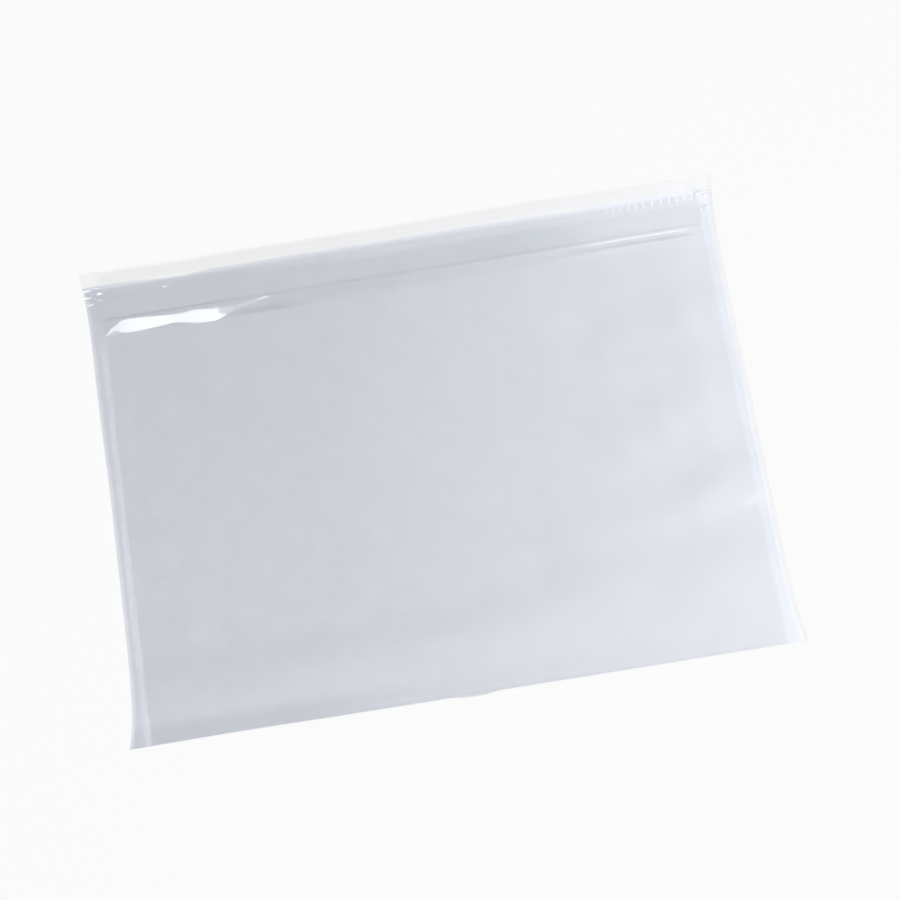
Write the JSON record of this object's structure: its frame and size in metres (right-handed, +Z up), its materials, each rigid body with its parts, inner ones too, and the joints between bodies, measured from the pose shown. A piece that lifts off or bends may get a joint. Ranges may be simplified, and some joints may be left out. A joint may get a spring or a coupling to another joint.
{
  "type": "packing list envelope",
  "caption": "Clear film pouch that holds a packing list on a carton, with an overlapped mouth, sealed sides and an adhesive back under a paper liner.",
  "frame": {"origin": "under the middle of the release liner's lower face, on the surface that the envelope lies on", "axes": "+X across the width, +Y towards the mouth edge, +Z up out of the front"},
  "size_m": [0.235, 0.175, 0.0008],
  "materials": {
    "film": "clear polyethylene film, glossy, slightly hazy",
    "sealed_film": "melted and pressed polyethylene, crinkled",
    "adhesive": "clear hot-melt adhesive coat",
    "glassine": "siliconised glassine paper, greyish, cloudy, matt"
  },
  "bodies": {
    "root": {"release_liner": "glassine", "adhesive_coat": "adhesive", "back_panel": "film", "bottom_fold": "film", "front_panel": "film", "top_fold": "film", "mouth_flap": "film", "left_seal": "sealed_film", "right_seal": "sealed_film"}
  },
  "joints": []
}
